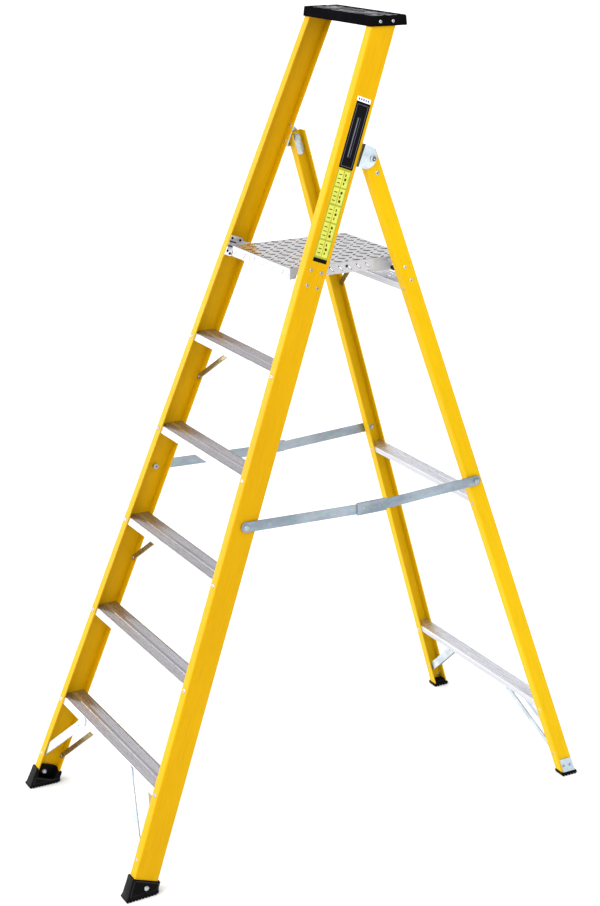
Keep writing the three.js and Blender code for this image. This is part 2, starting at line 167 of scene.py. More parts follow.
def aluminium(name, low, high, rough, streak=(3, 420, 420), metal=0.92):
    f = Finish(name, Metallic=metal, Anisotropic=0.35, Specular_IOR_Level=0.2)
    grain = f.noise(streak, 4)
    stains = f.noise((14, 30, 30), 4)
    scratches = f.noise((30, 700, 700), 2)
    base = f.mix(f.ramp(grain, 0.35, 0.7), rgb(*low), rgb(*high))
    base = f.mix(f.ramp(stains, 0.55, 0.75, 0, 0.3), base, rgb(*(c * 0.86 for c in low)))
    f.colour(base)
    f.roughness(f.ramp(scratches, 0.3, 0.7, rough - 0.06, rough + 0.1))
    f.bump(grain, 0.12, 0.0002)
    return f.material


def zinc(name, low, high, rough=0.38):
    f = Finish(name, Metallic=0.85)
    cells = f.node("TexVoronoi", {"Vector": f.stretched((160, 90, 160)), "Scale": 1.0})
    haze = f.noise((22, 9, 22), 4)
    fine = f.noise((600, 120, 600), 3)
    base = f.mix(f.ramp(haze, 0.35, 0.65), rgb(*low), rgb(*high))
    spangle = f.mix(0.12, base, cells.outputs["Color"], "SOFT_LIGHT")
    f.colour(spangle)
    f.roughness(f.ramp(fine, 0.3, 0.7, rough - 0.08, rough + 0.12))
    f.bump(fine, 0.08, 0.0002)
    return f.material


def moulded(name, low, high, rough, grain=900, depth=0.35, gloss=0.1):
    f = Finish(name, Specular_IOR_Level=gloss)
    speckle = f.noise((grain, grain, grain), 2)
    dust = f.noise((18, 18, 18), 5)
    base = f.mix(f.ramp(dust, 0.45, 0.75), rgb(*low), rgb(*high))
    f.colour(base)
    f.roughness(f.ramp(dust, 0.35, 0.7, rough - 0.05, rough + 0.12))
    f.bump(speckle, depth, 0.0003)
    return f.material


def printed(name, colour):
    f = Finish(name, Specular_IOR_Level=0.04)
    tint = f.noise((60, 60, 60), 3)
    f.colour(f.mix(f.ramp(tint, 0.4, 0.7), rgb(*colour), rgb(*(c * 0.93 for c in colour))))
    f.roughness(f.ramp(tint, 0.3, 0.7, 0.3, 0.38))
    f.bump(tint, 0.05, 0.0002)
    return f.material


FRONT_TONES = (rgb(193, 146, 0), rgb(202, 155, 0), rgb(211, 169, 8))
REAR_TONES = (rgb(200, 159, 0), rgb(209, 168, 4), rgb(222, 184, 28))
YELLOW_FRONT = fibreglass("yellow_front_frame", FRONT, FRONT_TONES)
YELLOW_REAR = fibreglass("yellow_rear_frame", REAR, REAR_TONES)
TREAD_TOP = aluminium("tread_top", (162, 160, 165), (184, 182, 188), 0.24)
MEMBER_TOP = aluminium("member_top", (204, 205, 212), (234, 235, 242), 0.3)
TREAD_BAND = aluminium("tread_band", (172, 170, 176), (200, 198, 204), 0.27)
SKIRT = aluminium("tread_skirt", (176, 177, 182), (190, 191, 196), 0.42, metal=0.15)
# the skirts' finish made darker for the platform's underside: painted shade
UNDERSIDE_SHADE = aluminium("platform_underside_painted_shade", (118, 119, 124), (134, 135, 141), 0.42, metal=0.15)
CHEQUER = aluminium("chequer_sheet", (236, 236, 241), (254, 254, 255), 0.2, (40, 40, 40))
# mid grey of the flanks of the bars on the front skirt: a lighter painted shade
CHEQUER_SOFT_SHADE = aluminium("chequer_soft_painted_shade", (150, 152, 160), (186, 188, 196), 0.4, (40, 40, 40))
# dark grey of the chequer bars' flanks and of the strips along the bent edges: painted shade
CHEQUER_SHADE = aluminium("chequer_painted_shade", (44, 42, 44), (84, 80, 82), 0.4, (40, 40, 40))
BRACKET = aluminium("bracket", (196, 198, 205), (226, 228, 236), 0.32, (300, 12, 12))
BRACE = aluminium("tread_brace", (128, 118, 84), (168, 158, 128), 0.3, (12, 300, 300))
STAY = zinc("stay_zinc", (126, 138, 148), (154, 166, 176))
PALE_ZINC = zinc("brace_zinc", (176, 190, 201), (206, 217, 226), 0.3)
BOLT = zinc("bolt_zinc", (146, 152, 158), (196, 200, 206), 0.26)
# SHADOW is painted shadow: rivet cores, the hinge plate's gap, a bracket patch and the platform's rivets
SHADOW = moulded("painted_shadow", (42, 40, 40), (66, 62, 60), 0.5)
CAP = moulded("cap_plastic", (11, 10, 12), (17, 16, 19), 0.3, 700, 0.5, gloss=0.0)
# the cap's black plastic in a lighter grey for the ribs of its recess: painted highlight
CAP_RIB_HIGHLIGHT = moulded("cap_rib_painted_highlight", (72, 72, 76), (150, 150, 156), 0.2, 700, 0.5, gloss=0.5)
RUBBER = moulded("boot_rubber", (7, 6, 7), (14, 12, 13), 0.45, 600, 0.6, gloss=0.05)
RUBBER_EDGE = moulded("boot_edge_rubber", (30, 29, 31), (46, 45, 47), 0.4, 600, 0.6)
KNOB = moulded("knob_plastic", (8, 8, 9), (16, 16, 18), 0.35)
WHITE_PRINT = printed("label_white", (246, 247, 250))
BLUE_PRINT = printed("label_blue", (52, 84, 160))
BLACK_PRINT = printed("label_black", (14, 13, 16))
GREY_PRINT = printed("label_grey", (96, 100, 110))
LIME_PRINT = printed("label_lime", (150, 156, 50))
PALE_PRINT = printed("label_pale", (196, 198, 84))
OLIVE_PRINT = printed("label_olive", (58, 60, 16))


# ---- mesh helpers --------------------------------------------------------------------------------
def piece(name, bm, materials, body, smooth=0.0):
    """Makes an object from a bmesh, in place, riding on a body."""
    bmesh.ops.recalc_face_normals(bm, faces=bm.faces)
    mesh = bpy.data.meshes.new(name)
    bm.to_mesh(mesh)
    bm.free()
    for m in materials:
        mesh.materials.append(m)
    if smooth:
        mesh.shade_smooth()
        mesh.set_sharp_from_angle(angle=math.radians(smooth))
    obj = bpy.data.objects.new(name, mesh)
    scene.collection.objects.link(obj)
    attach(obj, body)
    return obj


def soften(obj, width, segments=2, angle=35):
    m = obj.modifiers.new("soft_edges", "BEVEL")
    m.width, m.segments = width, segments
    m.limit_method, m.angle_limit = "ANGLE", math.radians(angle)


def dress(node, material, edge=0.0):
    obj = nodes[node]
    for s in obj.material_slots:
        s.link = "OBJECT"
        s.material = material
    if not obj.material_slots:
        obj.data.materials.append(material)
    if edge:
        soften(obj, edge)


def bridge(bm, rings, closed=True, material=0):
    """Joins rings of the same length, one to the next."""
    rows = [[bm.verts.new(p) for p in ring] for ring in rings]
    count = len(rows[0])
    for a, b in zip(rows, rows[1:]):
        for i in range(count if closed else count - 1):
            j = (i + 1) % count
            face = bm.faces.new((a[i], a[j], b[j], b[i]))
            face.material_index = material
    return rows


def spun(bm, centre, direction, profile, sides=14, end=0):
    """A turned piece: (radius, distance) pairs from centre along direction, closed at the end."""
    axis = Vector(direction).normalized()
    helper = Vector((0, 0, 1)) if abs(axis.z) < 0.9 else Vector((0, 1, 0))
    u = axis.cross(helper).normalized()
    v = axis.cross(u)
    rings = []
    for radius, distance in profile:
        rings.append([
            Vector(centre) + (axis * distance + (u * math.cos(a) + v * math.sin(a)) * radius) / 1000
            for a in (math.tau * k / sides for k in range(sides))
        ])
    rows = bridge(bm, rings)
    bm.faces.new(rows[-1]).material_index = end


def rivet(bm, centre, direction, radius, high=1.7):
    """Domed blind rivet with a sunk core, whose end face takes the second material, in the pieces here a
    painted shadow.
    """
    spun(bm, centre, direction, [
        (radius, -0.4), (radius, 0.25), (radius * 0.92, high * 0.5), (radius * 0.68, high * 0.9),
        (radius * 0.45, high), (radius * 0.36, high * 0.95), (radius * 0.33, high * 0.35)], end=1)


def hex_bolt(bm, centre, direction, across, high, washer):
    """Washer, chamfered hexagon and the end of the thread."""
    spun(bm, centre, direction, [(washer, -0.3), (washer, 0.9), (washer - 0.5, 1.2), (2, 1.2)], 18)
    r = across / math.sqrt(3)
    spun(bm, centre, direction, [(r, 1.1), (r, high - 0.6), (r * 0.88, high), (2, high)], 6)
    spun(bm, centre, direction, [(2.6, high - 0.5), (2.6, high + 1.6), (2.0, high + 2.2)], 12)


def screw(bm, centre, direction, radius):
    """Pan head with a sunk recess."""
    spun(bm, centre, direction, [
        (radius, -0.3), (radius, 0.6), (radius * 0.85, 1.5), (radius * 0.45, 1.8),
        (radius * 0.32, 1.75), (radius * 0.3, 1.0)], 12)


def slab(bm, corners, normal, thick, index=0):
    """A thin plate on a flat quad, raised along the normal."""
    rise = Vector(normal).normalized() * thick / 1000
    rows = bridge(bm, [[Vector(c) for c in corners], [Vector(c) + rise for c in corners]], material=index)
    for row in rows:
        bm.faces.new(row).material_index = index


# ---- treads and cross-members --------------------------------------------------------------------
def ribs(start, end, pitch, high, base):
    """Saw-like fine ribs of an extrusion's top, from start to end across it."""
    count = max(1, round((end - start) / pitch))
    step = (end - start) / count
    points = []
    for k in range(count):
        u = start + k * step
        points += [(u, base), (u + step * 0.3, base + high),
                   (u + step * 0.6, base + high), (u + step * 0.8, base)]
    return points + [(end, base)]


def plank(name, leg, top, drop, crown, body, band):
    """Extruded tread: a ribbed top and two skirts, its ends cut to lie on the channels' webs."""
    front, rear = leg.wall + GAP, leg.depth - leg.wall - GAP
    sheet = 2.5
    under = -sheet
    outline = [(front + sheet, -drop + 1.5), (front + sheet - 0.9, -drop), (front + 0.6, -drop),
               (front, -drop + 0.6), (front, -1.6), (front + 0.5, -0.5), (front + 1.5, 0)]
    outline += crown(front, rear)
    outline += [(rear - 1.5, 0), (rear - 0.5, -0.5), (rear, -1.6), (rear, -drop + 0.6), (rear - 0.6, -drop),
                (rear - sheet + 0.9, -drop), (rear - sheet, -drop + 1.5), (rear - sheet, under - 1),
                (rear - sheet - 1, under), (front + sheet + 1, under), (front + sheet, under - 1)]
    bm = bmesh.new()
    ends = []
    reach = leg.along(top, front)
    for hand in (1, -1):
        if leg is FRONT:
            ends.append([leg.at_height(hand, top + v, u, front) for u, v in outline])
        else:
            ends.append([leg.at(hand, reach + v, u, front) for u, v in outline])
    steps = 8
    rings = [[a.lerp(b, k / steps) for a, b in zip(*ends)] for k in range(steps + 1)]
    rows = bridge(bm, rings)
    for row in (rows[0], rows[-1]):
        bm.faces.new(row).material_index = 1
    count = len(outline)
    bm.verts.index_update()
    for face in bm.faces:
        if len(face.verts) == 4:
            us = [outline[vert.index % count][0] for vert in face.verts]
            vs = [outline[vert.index % count][1] for vert in face.verts]
            if min(vs) < -1.7:
                face.material_index = 1
            elif band and band[0] < sum(us) / 4 < band[1]:
                face.material_index = 2
    finishes = [MEMBER_TOP if leg is REAR else TREAD_TOP, SKIRT, TREAD_BAND]
    return piece(name, bm, finishes, body)


def tread_crown(front, rear):
    return (ribs(front + 4, front + 22.5, 2.05, 0.55, -0.55)
            + [(front + 23, -0.9), (front + 24, -0.9), (front + 24.5, 0), (front + 32.5, 0),
               (front + 33, -0.9), (front + 34, -0.9)]
            + ribs(front + 34.5, rear - 4, 2.05, 0.55, -0.55))


def cross_crown(front, rear):
    points = []
    width = (rear - front - 8) / 4
    for k in range(4):
        a = front + 4 + k * width
        points += [(a, 0), (a + 0.5, -0.9), (a + 1.6, -0.9), (a + 2.1, 0)]
    return points + [(rear - 4, 0)]


for n in range(1, TREADS + 1):
    step = plank(f"tread_{n}_extrusion", FRONT, FIRST_TREAD + (n - 1) * RISE, 18, tread_crown,
                 "front_frame", (FRONT.wall + 24.3, FRONT.wall + 33.2))
    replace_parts(step, f"tread_{n}")
CROSS = (("top_crossmember", 1348, 20), ("upper_crossmember", 789, 18), ("lower_crossmember", 209, 20))
for name, top, drop in CROSS:
    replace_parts(plank(f"{name}_extrusion", REAR, top, drop, cross_crown, "rear_frame", None), name)


def upper_brace(hand, side):
    """Flat knee brace from the rail to the underside of the top cross-member."""
    low, high, across, half = Vector((199, 1319)), Vector((100, 1398)), 32.6, 6.5
    run = (high - low).normalized()
    wide = Vector((-run.y, run.x)) * half
    corners = []
    for end, reach in ((low, -7), (high, 0)):
        for way in (1, -1):
            x, along = end + run * reach + wide * way
            p = REAR.at(side, along, across, 0)
            corners.append(Vector((side * x / 1000, p.y, p.z)))
    bm = bmesh.new()
    slab(bm, [corners[0], corners[1], corners[3], corners[2]], REAR.to_rear, 2.6)
    p = REAR.at(side, low.y, across, 0)
    rivet(bm, Vector((side * low.x / 1000, p.y, p.z)), -REAR.to_rear, 4, 1.6)
    soften(piece(f"upper_brace_{hand}", bm, [BRACE, SHADOW], "rear_frame"), 0.0004)


for hand, side in SIDES:
    upper_brace(hand, side)


# ---- platform ------------------------------------------------------------------------------------
def lozenge(bm, centre, along, normal, length=21, wide=5.6, high=1.3, flank=1):
    """One raised bar of the chequer pattern; its flanks take the material flank, in the chequer a painted
    shade.
    """
    a = Vector(along).normalized()
    n = Vector(normal).normalized()
    b = n.cross(a)
    half, side = length / 2, wide / 2
    plan = [(half, 0), (half * 0.55, side * 0.85), (0, side), (-half * 0.55, side * 0.85),
            (-half, 0), (-half * 0.55, -side * 0.85), (0, -side), (half * 0.55, -side * 0.85)]
    rings = [[Vector(centre) + (a * u * s + b * v * s + n * h) / 1000 for u, v in plan]
             for s, h in ((1, -0.1), (0.9, high * 0.7), (0.66, high))]
    rows = bridge(bm, rings, material=flank)
    bm.faces.new(rows[-1])


def chequer():
    bm = bmesh.new()
    half, front, rear, pitch = PLATFORM_HALF, PLATFORM_FRONT, PLATFORM_REAR, 23.5
    columns = int(2 * half / pitch)
    rows = int((rear - front) / pitch)
    slant = (Vector((1, 1, 0)), Vector((1, -1, 0)))
    for i in range(columns):
        for j in range(rows):
            x = -half + (i + 0.5) * 2 * half / columns
            y = front + (j + 0.5) * (rear - front) / rows - MIDDLE
            lozenge(bm, Vector((x, y, PLATFORM_TOP)) / 1000, slant[(i + j) % 2], (0, 0, 1))
    height = PLATFORM_TOP - 14
    # bars on the front skirt, their flanks in the lighter grey of painted shade
    for i in range(columns):
        x = -half + (i + 0.5) * 2 * half / columns
        centre = Vector((x, front - MIDDLE, height)) / 1000
        lozenge(bm, centre, Vector((1, 0, 1 - 2 * (i % 2))), (0, -1, 0), high=0.8, flank=2)
    # bars on the side skirts, their flanks in dark painted shade
    for side in (1, -1):
        for i in range(2, 9):
            y = front + (i + 0.5) * (rear - front) / rows - MIDDLE
            lozenge(bm, Vector((side * half, y, height)) / 1000, (0, 1, -1), (side, 0, 0), wide=4, high=0.9)
    # the bent edges: flat strips without the pattern, in dark painted shade along the bends
    z = PLATFORM_TOP / 1000 + 0.00002
    a, b, c, d = -half / 1000, half / 1000, (front - MIDDLE) / 1000, (rear - MIDDLE) / 1000
    deep, wide = 0.0022, 0.0016
    for x0, x1, y0, y1, index in ((a, b, c, c + deep, 1), (b - wide, b, c, d, 1), (a, a + wide, c, d, 1),
                                  (a + wide, b - wide, c + deep, d, 0)):
        slab(bm, [(x0, y0, z), (x1, y0, z), (x1, y1, z), (x0, y1, z)], (0, 0, 1), 0.12, index)
    # the underside of the sheet, 3 mm thick, between the skirts, in a darker copy of the skirts' finish:
    # painted shade
    z = PLATFORM_TOP / 1000 - 0.00302
    inset = 0.004
    a, b, c, d = a + inset, b - inset, c + inset, d - inset
    slab(bm, [(a, c, z), (b, c, z), (b, d, z), (a, d, z)], (0, 0, -1), 0.12, 3)
    finishes = [CHEQUER, CHEQUER_SHADE, CHEQUER_SOFT_SHADE, UNDERSIDE_SHADE]
    piece("platform_chequer", bm, finishes, "platform")
    dress("platform", SKIRT, 0.0011)
    # rivets on the platform's sides, wholly in painted shadow
    bm = bmesh.new()
    for side in (1, -1):
        rivet(bm, Vector((side * PLATFORM_HALF, 676 - MIDDLE, 1397)) / 1000, (side, 0, 0), 3.6)
    piece("platform_rivets", bm, [SHADOW], "platform", 40)


chequer()


# ---- top cap -------------------------------------------------------------------------------------
def rounded(half, front, rear, radius, z, corner=6):
    """Ring of points round a rounded rectangle, at a height."""
    ring = []
    for cx, cy, start in ((half - radius, rear - radius, 0), (radius - half, rear - radius, 90),
                          (radius - half, front + radius, 180), (half - radius, front + radius, 270)):
        for k in range(corner + 1):
            a = math.radians(start + 90 * k / corner)
            ring.append(Vector((cx + radius * math.cos(a), cy + radius * math.sin(a) - MIDDLE, z)) / 1000)
    return ring


def top_cap():
    half, front, rear = 162.6, 729.7, 827
    bm = bmesh.new()
    loops = [(1.9, 1981.9, 3), (1.9, CAP_BOTTOM, 3), (-1.6, CAP_BOTTOM, 7), (-1.9, CAP_BOTTOM + 1.2, 7),
             (-0.4, CAP_TOP - 2.4, 7), (0.4, CAP_TOP - 0.7, 7), (1.8, CAP_TOP, 7), (6.6, CAP_TOP, 5),
             (7.6, CAP_TOP - 0.6, 5), (8.2, CAP_TOP - 2.6, 4)]
    rows = bridge(bm, [rounded(half - i, front + i, rear - i, r, z) for i, z, r in loops])
    bm.faces.new(rows[0])
    bm.faces.new(rows[-1])
    # ribs in the recess take the second material, grey that is painted highlight on the black plastic
    floor = CAP_TOP - 2.8
    for k in range(1, 12):
        x = -half + 8 + k * (2 * half - 16) / 12
        for j in range(3):
            y0 = front + 11 + j * 26.5 - MIDDLE
            lean = 7 if (k + j) % 2 else -7
            corners = [Vector((x - lean - 1.1, y0, floor)), Vector((x - lean + 1.1, y0, floor)),
                       Vector((x + lean + 1.1, y0 + 22, floor)), Vector((x + lean - 1.1, y0 + 22, floor))]
            slab(bm, [c / 1000 for c in corners], (0, 0, 1), 2.3, 1)
    for j in range(1, 3):
        y = front + 8.7 + j * 26.5 - MIDDLE
        corners = [Vector((-half + 8, y - 1, floor)), Vector((half - 8, y - 1, floor)),
                   Vector((half - 8, y + 1, floor)), Vector((-half + 8, y + 1, floor))]
        slab(bm, [c / 1000 for c in corners], (0, 0, 1), 2.5, 1)
    cap = piece("top_cap_moulding", bm, [CAP, CAP_RIB_HIGHLIGHT], "front_frame", 30)
    soften(cap, 0.0004, 1, 50)
    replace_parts(cap, "top_cap")


top_cap()


# ---- boots and pads ------------------------------------------------------------------------------
def leg_ring(leg, side, level, outer, inner, front, rear, radius, height=None, notch=None):
    """Rounded rectangle round a channel, at a distance along it or at a height above the floor.

    A notch adds two points on the inner side, at their own level."""
    ring = []
    for cu, cv, start in ((inner - radius, rear - radius, 0), (outer + radius, rear - radius, 90),
                          (outer + radius, front + radius, 180), (inner - radius, front + radius, 270)):
        for k in range(5):
            a = math.radians(start + 90 * k / 4)
            u, v = cu + radius * math.cos(a), cv + radius * math.sin(a)
            ring.append(leg.at(side, level, v, u) if height is None else leg.at_height(side, height, v, u))
    if notch is not None:
        for v in (front + 10, rear - 12):
            low = leg.at(side, notch, v, inner) if height is None else leg.at_height(side, height, v, inner)
            ring.append(low)
    return ring


def boot(hand, side):
    """Open on its inner side above a low curb, with a thick plug against the web."""
    bm = bmesh.new()
    o, i, f, r = -4, 29.5, -5, 69
    curb = 33
    inside = (-GAP, i - 4, -GAP, FRONT.depth + GAP, 2, None)
    rings = [leg_ring(FRONT, side, *ring) for ring in (
        (0, o - 1.6, i + 1.6, f - 2.2, r + 1.5, 3, 3.4, 0),
        (0, o - 1.9, i + 1.9, f - 2.6, r + 1.8, 3, 5, 0),
        (0, o - 0.8, i + 0.8, f - 1.0, r + 0.6, 4, 10, 0),
        (40, o, i, f, r, 4, None, curb - 4),
        (52, o, i, f, r, 4, None, curb - 2),
        (54.4, o + 0.6, i - 0.6, f + 0.6, r - 0.6, 4, None, curb),
        (55, o + 1.6, i - 1.6, f + 1.6, r - 1.6, 3.5, None, curb),
        (55, *inside, curb - 1),
        (24, *inside, 24),
    )]
    rows = bridge(bm, rings)
    bm.faces.new(rows[0])
    bm.faces.new(rows[-1])
    plug = [(24, 4), (24, 59), (60, 59), (63, 50), (63, 4)]
    for row in bridge(bm, [[FRONT.at(side, a, v, u) for a, v in plug] for u in (3.5, 10.5)]):
        bm.faces.new(row)
    lining = [(24, 10.6), (24, 29.3), (53, 29.3), (60, 10.6)]
    for row in bridge(bm, [[FRONT.at(side, a, v, u) for a, u in lining] for v in (54, 59.4)]):
        bm.faces.new(row)
    teeth(bm, FRONT, side, o, i, f, r, 10)
    # raised borders of the outer and inner faces
    for inset, way, top in ((o, side, 52), (i, -side, 30)):
        corners = [FRONT.at(side, top, 0, inset), FRONT.at(side, top, 64, inset),
                   FRONT.at_height(side, 12, 64, inset), FRONT.at_height(side, 12, 0, inset)]
        for a, b in zip(corners, corners[1:] + corners[:1]):
            across = (b - a).cross(Vector((way, 0, 0))).normalized() * 0.0011
            slab(bm, [a - across, b - across, b + across, a + across], (way, 0, 0), 0.7, 1)
    obj = piece(f"front_boot_moulding_{hand}", bm, [RUBBER, RUBBER_EDGE], "front_frame", 35)
    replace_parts(obj, f"front_boot_{hand}")


def teeth(bm, leg, side, outer, inner, front, rear, count):
    """Cross bars of a serrated sole, standing on the floor."""
    pitch = (rear - front) / count
    for k in range(count):
        a, b = front + k * pitch, front + (k + 0.62) * pitch
        low = [leg.at_height(side, 0, v, u) for u, v in
               ((outer, a + 0.8), (inner, a + 0.8), (inner, b - 0.6), (outer, b - 0.6))]
        high = [leg.at_height(side, 5, v, u) for u, v in ((outer, a), (inner, a), (inner, b), (outer, b))]
        for row in bridge(bm, [low, high]):
            bm.faces.new(row)


def pad(hand, side):
    bm = bmesh.new()
    o, i, f, r = -3.5, 28.5, -2, 41
    rings = [leg_ring(REAR, side, 0, *ring) for ring in (
        (o - 0.6, i + 0.6, f - 1, r + 1, 2, 3.6),
        (o - 0.8, i + 0.8, f - 1.2, r + 1.2, 2.4, 5),
        (o, i, f, r, 2.4, 9.2),
        (o + 0.8, i - 0.8, f + 0.8, r - 0.8, 2, 10),
        (3.6, 26, 3.6, 35.4, 2, 10),
        (3.6, 26, 3.6, 35.4, 2, 17),
        (5.6, 24, 5.6, 33.4, 2, 18.5),
    )]
    rows = bridge(bm, rings)
    bm.faces.new(rows[0])
    bm.faces.new(rows[-1])
    teeth(bm, REAR, side, o, i, f, r, 5)
    obj = piece(f"rear_foot_moulding_{hand}", bm, [RUBBER], "rear_frame", 35)
    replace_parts(obj, f"rear_foot_pad_{hand}")


# ---- fixings -------------------------------------------------------------------------------------
def front_fixings(bm):
    for n in range(TREADS):
        top = FIRST_TREAD + n * RISE
        for _, side in SIDES:
            rivet(bm, FRONT.at_height(side, top - 9, 0, 12.5), -FRONT.to_rear, 5.4, 2.6)
            rivet(bm, FRONT.at_height(side, top - 9, FRONT.depth, 12.5), FRONT.to_rear, 5.4, 2.6)
    for _, side in SIDES:
        for along, across in ((1515, 19), (1515, 47.5), (1478.5, 19), (1478.5, 47.5)):
            rivet(bm, FRONT.at(side, along, across, 0), FRONT.outward(side), 4.2)
        for y in (753.5, 788):
            rivet(bm, Vector((side * 163.4, y - MIDDLE, 1973)) / 1000, (side, 0, 0.06), 4.2)
        for along in (1828.5, 1789):
            rivet(bm, FRONT.at(side, along, FRONT.depth - 3.2, 16), -FRONT.to_rear, 4.4)
        low = FRONT.at(side, 95, 0, 12.5)
        rivet(bm, low, -FRONT.to_rear, 4.0)
        for x, along, across in ((143.5, 246, 0.3), (159, 231, 0.7)):
            p = FRONT.at(side, along, across, 0)
            rivet(bm, Vector((side * x / 1000, p.y, p.z)), -FRONT.to_rear, 2.8, 1.4)
        for n, down in BRACE_DROPS:
            tread = FRONT.along(FIRST_TREAD + (n - 1) * RISE, BRACE_ACROSS)
            p = FRONT.at(side, tread - down, BRACE_ACROSS, BRACE_INSET)
            rivet(bm, p, -FRONT.to_rear, 3.6, 1.6)


def rear_fixings(bm):
    for _, side in SIDES:
        for along in (1407.6, 816, 201, 66):
            rivet(bm, REAR.at(side, along, 0, 12), -REAR.to_rear, 4.2)
        for along in (1407.6, 816, 206):
            rivet(bm, REAR.at(side, along, REAR.depth, 12), REAR.to_rear, 4.2)
        for along, across in ((1461, 15.5), (1424, 20.7)):
            rivet(bm, REAR.at(side, along, across, 0), REAR.outward(side), 4.4)
        rivet(bm, REAR.at(side, 1701, 22, 0), REAR.outward(side), 5.6, 2.2)
        for across in (9, 27):
            rivet(bm, REAR.at_height(side, 29, across, -2.9), REAR.outward(side), 3.8)
        p = REAR.at(side, 196, REAR.wall + GAP, 0)
        rivet(bm, Vector((side * 0.139, p.y, p.z)), -REAR.to_rear, 2.8, 1.4)


bm = bmesh.new()
front_fixings(bm)
piece("front_rivets", bm, [BOLT, SHADOW], "front_frame", 40)
bm = bmesh.new()
rear_fixings(bm)
piece("rear_rivets", bm, [BOLT, SHADOW], "rear_frame", 40)

def bracket_details(hand, side):
    """Plates and black screws on the inner face of the platform bracket; the thinnest plate is a patch of
    painted shadow.
    """
    tip = FRONT.flange + GAP
    thick = 2.4
    inwards = (-side, 0, 0)
    bm = bmesh.new()
    # the first, thin plate takes the second material: painted shadow on the bracket
    for a0, a1, d0, d1, high, index in ((1476, 1518, 4, 22, 0.6, 1), (1511, 1525, 2, 35, thick, 0),
                                        (1499, 1507, 2, 22, thick, 0), (1473, 1495, 1, 19, thick, 0)):
        corners = [FRONT.at(side, a, d, tip) for a, d in ((a0, d0), (a0, d1), (a1, d1), (a1, d0))]
        slab(bm, corners, inwards, high, index)
    plates = piece(f"bracket_plates_{hand}", bm, [BRACKET, SHADOW], "front_frame")
    soften(plates, 0.0004)
    bm = bmesh.new()
    for along, across in ((1518, 6), (1518, 29), (1484, 5), (1479, 14)):
        screw(bm, FRONT.at(side, along, across, tip + thick), inwards, 3.3)
    piece(f"bracket_screws_{hand}", bm, [KNOB], "front_frame", 40)


def front_bolt_heads(hand, side):
    """Heads and nuts of the hinge, the boot and the stay's front pivot, and a thin strip of painted shadow
    where the hinge plate meets the flange.
    """
    bm = bmesh.new()
    # a thin dark strip where the hinge plate meets the flange: painted shadow
    seam_shadow = [Vector((side * x / 1000, *FRONT.at(side, a, 63.2, 0)[1:])) for a, x in
            ((1776, 186), (1832, 182), (1832, 191.3), (1776, 191.3))]
    slab(bm, seam_shadow, -FRONT.to_rear, 0.3, 1)
    hinge = FRONT.at(side, 1805, 95, 0)
    hinge.x = side * 0.1914
    hex_bolt(bm, hinge, (side, 0, 0), 13, 5, 0.1)
    dome = [(6.4, -0.2), (6.4, 0.8), (5.6, 2.4), (3.6, 3.6), (1.2, 4.0)]
    spun(bm, FRONT.at(side, 38, 35, -4), (side, 0, 0), dome, 18)
    hex_bolt(bm, FRONT.at(side, 44, 27, 10.5), (-side, 0, 0), 10, 4, 6)
    rivet(bm, FRONT.at(side, 902, 33, 8.2), (-side, 0, 0), 5.6, 2.6)
    heads = piece(f"front_bolt_heads_{hand}", bm, [BOLT, SHADOW], "front_frame", 30)
    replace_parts(heads, f"front_boot_bolt_{hand}")


def rear_nuts(hand, side):
    """Nut of the stay's rear pivot and the head that holds the foot pad."""
    bm = bmesh.new()
    hex_bolt(bm, REAR.at(side, 877, 20, 3), (-side, 0, 0), 10, 4.5, 7)
    spun(bm, REAR.at(side, 17, 30, 3), (-side, 0, 0), [(5, -0.2), (5, 1.4), (3, 2.4), (1, 2.4)], 16)
    nuts = piece(f"rear_nuts_{hand}", bm, [BOLT], "rear_frame", 30)
    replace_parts(nuts, f"stay_rear_nut_{hand}")


for hand, side in SIDES:
    boot(hand, side)
    pad(hand, side)
    bracket_details(hand, side)
    front_bolt_heads(hand, side)
    rear_nuts(hand, side)


# ---- labels on the right-hand stile --------------------------------------------------------------
def patch(bm, a0, a1, d0, d1, index, lift):
    out = FRONT.outward(1)
    corners = [FRONT.at(1, a, d, 0) + out * lift / 1000 for a, d in ((a0, d0), (a0, d1), (a1, d1), (a1, d0))]
    slab(bm, corners, out, 0.12, index)


def stile_label():
    """A white strip, a black panel with a thin border and two bars, and lime fields with small marks."""
    white, blue, black, grey, lime, pale, olive = range(7)
    bm = bmesh.new()
    patch(bm, 1922.4, 1933, 14, 52, white, 0.02)
    for k in range(5):
        patch(bm, 1925.2, 1930.2, 18 + k * 6.4, 22 + k * 6.4, blue, 0.16)
    patch(bm, 1762.5, 1922, 15, 54, black, 0.02)
    for a0, a1, d0, d1 in ((1790, 1885, 30, 33.2), (1790, 1885, 37.4, 38.2),
                           (1767, 1768, 19, 50), (1915, 1916, 19, 50),
                           (1767, 1916, 19, 20), (1767, 1916, 49, 50)):
        patch(bm, a0, a1, d0, d1, grey, 0.16)
    patch(bm, 1546, 1761, 15.5, 53.6, lime, 0.02)
    patch(bm, 1537, 1546.5, 15.5, 53.6, black, 0.04)
    for k in range(5):
        low = 1551 + k * 42
        patch(bm, low, low + 38, 18.5, 33.5, pale, 0.16)
        patch(bm, low, low + 38, 35.5, 50.5, pale, 0.16)
        for j in range(3):
            mark = low + 10 * j
            patch(bm, mark + 7, mark + 9, 21.5, 30, olive, 0.3)
            patch(bm, mark + 6, mark + 12, 39, 42 + 2.5 * ((k + j) % 2), olive, 0.3)
    prints = [WHITE_PRINT, BLUE_PRINT, BLACK_PRINT, GREY_PRINT, LIME_PRINT, PALE_PRINT, OLIVE_PRINT]
    piece("stile_label", bm, prints, "front_frame")


stile_label()


